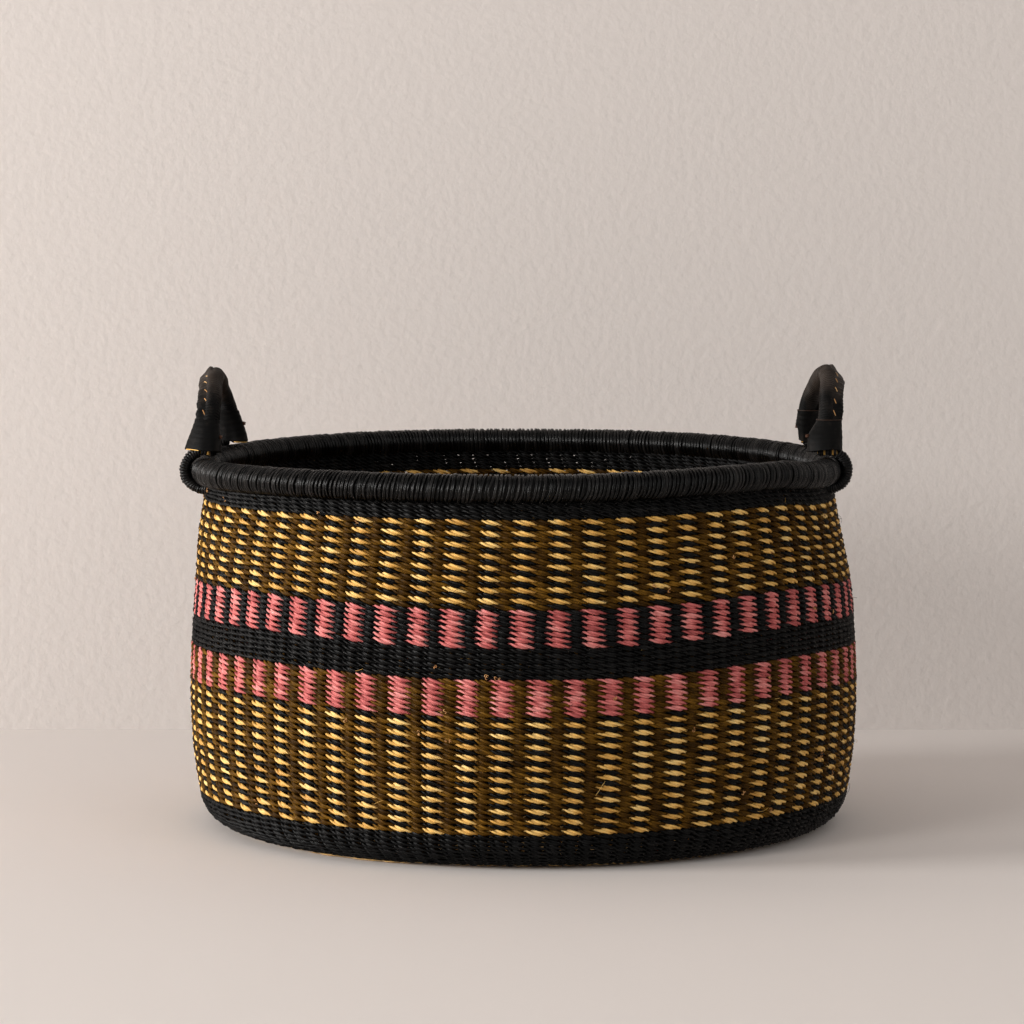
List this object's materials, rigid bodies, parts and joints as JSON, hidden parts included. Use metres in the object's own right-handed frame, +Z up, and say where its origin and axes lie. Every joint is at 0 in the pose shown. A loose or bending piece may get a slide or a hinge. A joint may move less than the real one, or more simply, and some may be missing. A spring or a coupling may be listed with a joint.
{
  "type": "woven basket",
  "caption": "Round twined grass floor basket with banded colours, a thick lashed rim and small leather-covered ear handles on opposite sides.",
  "frame": {"origin": "middle of the flat underside, on the surface that the basket stands on", "axes": "+Z up out of the mouth, -Y to the front seen in the picture, +X to the right handle"},
  "size_m": [0.485, 0.48, 0.3288],
  "materials": {
    "undyed_grass": "dry split grass in its natural straw colour",
    "black_grass": "grass dyed black, with a low sheen",
    "gold_weave": "twined rows of golden straw with black and brown grass",
    "pink_weave": "twined rows of dusty pink grass with black or brown grass",
    "black_leather": "thin black leather with a soft sheen, sewn with tan thread"
  },
  "bodies": {
    "basket": {"base_centre": "undyed_grass", "base_middle": "undyed_grass", "base_outer": "undyed_grass", "base_edge_band": "black_grass", "lower_gold_band": "gold_weave", "lower_pink_band": "pink_weave", "middle_black_band": "black_grass", "upper_pink_band": "pink_weave", "upper_gold_band": "gold_weave", "neck_band": "black_grass", "rim_core": "undyed_grass", "rim_lashing": "black_grass"},
    "left_handle": {"left_handle_core": "undyed_grass", "left_handle_sleeve": "black_leather", "left_handle_seam": "black_leather", "left_front_collar": "black_leather", "left_front_winding": "black_grass", "left_front_straw": "undyed_grass", "left_back_collar": "black_leather", "left_back_winding": "black_grass", "left_back_straw": "undyed_grass"},
    "right_handle": {"right_handle_core": "undyed_grass", "right_handle_sleeve": "black_leather", "right_handle_seam": "black_leather", "right_front_collar": "black_leather", "right_front_winding": "black_grass", "right_front_straw": "undyed_grass", "right_back_collar": "black_leather", "right_back_winding": "black_grass", "right_back_straw": "undyed_grass"}
  },
  "joints": [
    {"name": "right_handle_tilt", "type": "hinge", "parent": "basket", "child": "right_handle", "pos_m": [0.20952, 0.0207, 0.25526], "axis": [-0.0958, 0.9954, 0], "range_deg": [-12, 20]},
    {"name": "left_handle_tilt", "type": "hinge", "parent": "basket", "child": "left_handle", "pos_m": [-0.22032, 0.0207, 0.25526], "axis": [-0.0958, -0.9954, 0], "range_deg": [-7.5, 24.5]}
  ]
}
